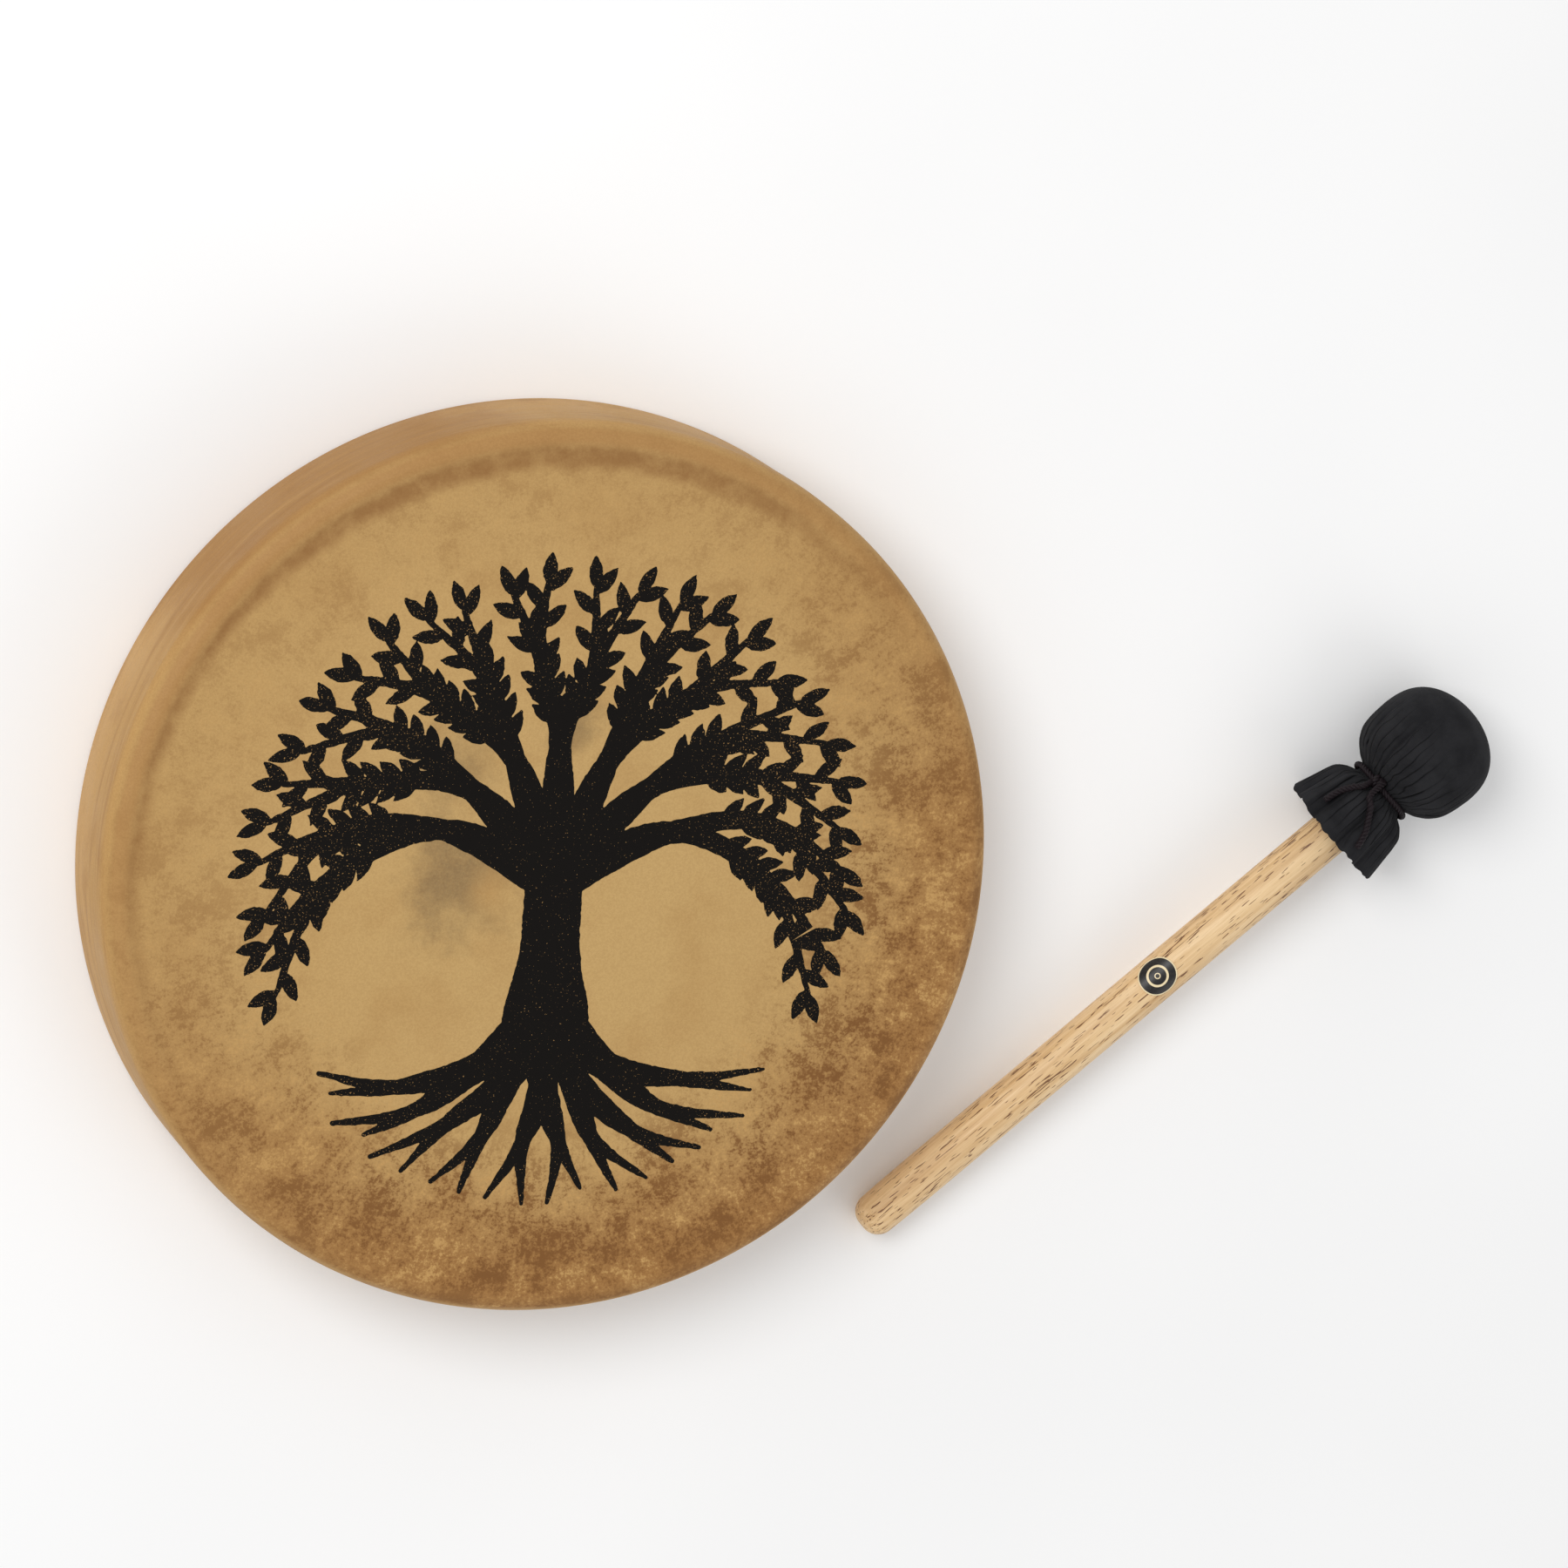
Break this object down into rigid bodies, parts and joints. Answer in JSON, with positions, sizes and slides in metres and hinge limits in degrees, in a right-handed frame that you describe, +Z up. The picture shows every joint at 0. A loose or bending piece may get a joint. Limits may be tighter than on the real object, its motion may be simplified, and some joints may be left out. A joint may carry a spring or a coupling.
{
  "type": "frame drum",
  "caption": "Shallow laced frame drum with a hide head and a rope hand grip, lying on its open back beside a soft-headed beater.",
  "frame": {"origin": "under the middle of the set's box, on the surface that the drum and the beater lie on", "axes": "+Z up out of the drum's head, +Y towards the top of the printed motif, +X from the drum towards the beater"},
  "size_m": [0.6158, 0.381, 0.059],
  "materials": {
    "bentwood": "oiled, open grain",
    "goat_skin": "dry scraped rawhide, mottled",
    "ring_steel": "plain welded ring",
    "lace_cord": "twisted cotton cord",
    "dowel_wood": "sanded, thin clear oil",
    "padding_felt": "loose wool felt",
    "black_cloth": "plain woven cotton",
    "black_cord": "twisted cord",
    "badge_vinyl": "satin vinyl sticker"
  },
  "bodies": {
    "drum": {"frame_hoop": "bentwood", "bearing_ring": "bentwood", "skin_head": "goat_skin", "skin_side": "goat_skin", "skin_back": "goat_skin", "steel_ring": "ring_steel", "lace_right": "lace_cord", "lace_top": "lace_cord", "lace_left": "lace_cord", "lace_bottom": "lace_cord", "grip_wrap_right": "lace_cord", "grip_wrap_top": "lace_cord", "grip_wrap_left": "lace_cord", "grip_wrap_bottom": "lace_cord"},
    "beater": {"beater_stick": "dowel_wood", "beater_padding": "padding_felt", "beater_cover": "black_cloth", "beater_tie": "black_cord", "beater_badge": "badge_vinyl"}
  },
  "joints": [
    {"name": "beater_lift", "type": "slide", "parent": "drum", "child": "beater", "axis": [0, 0, 1], "range_m": [0, 0.15]}
  ]
}
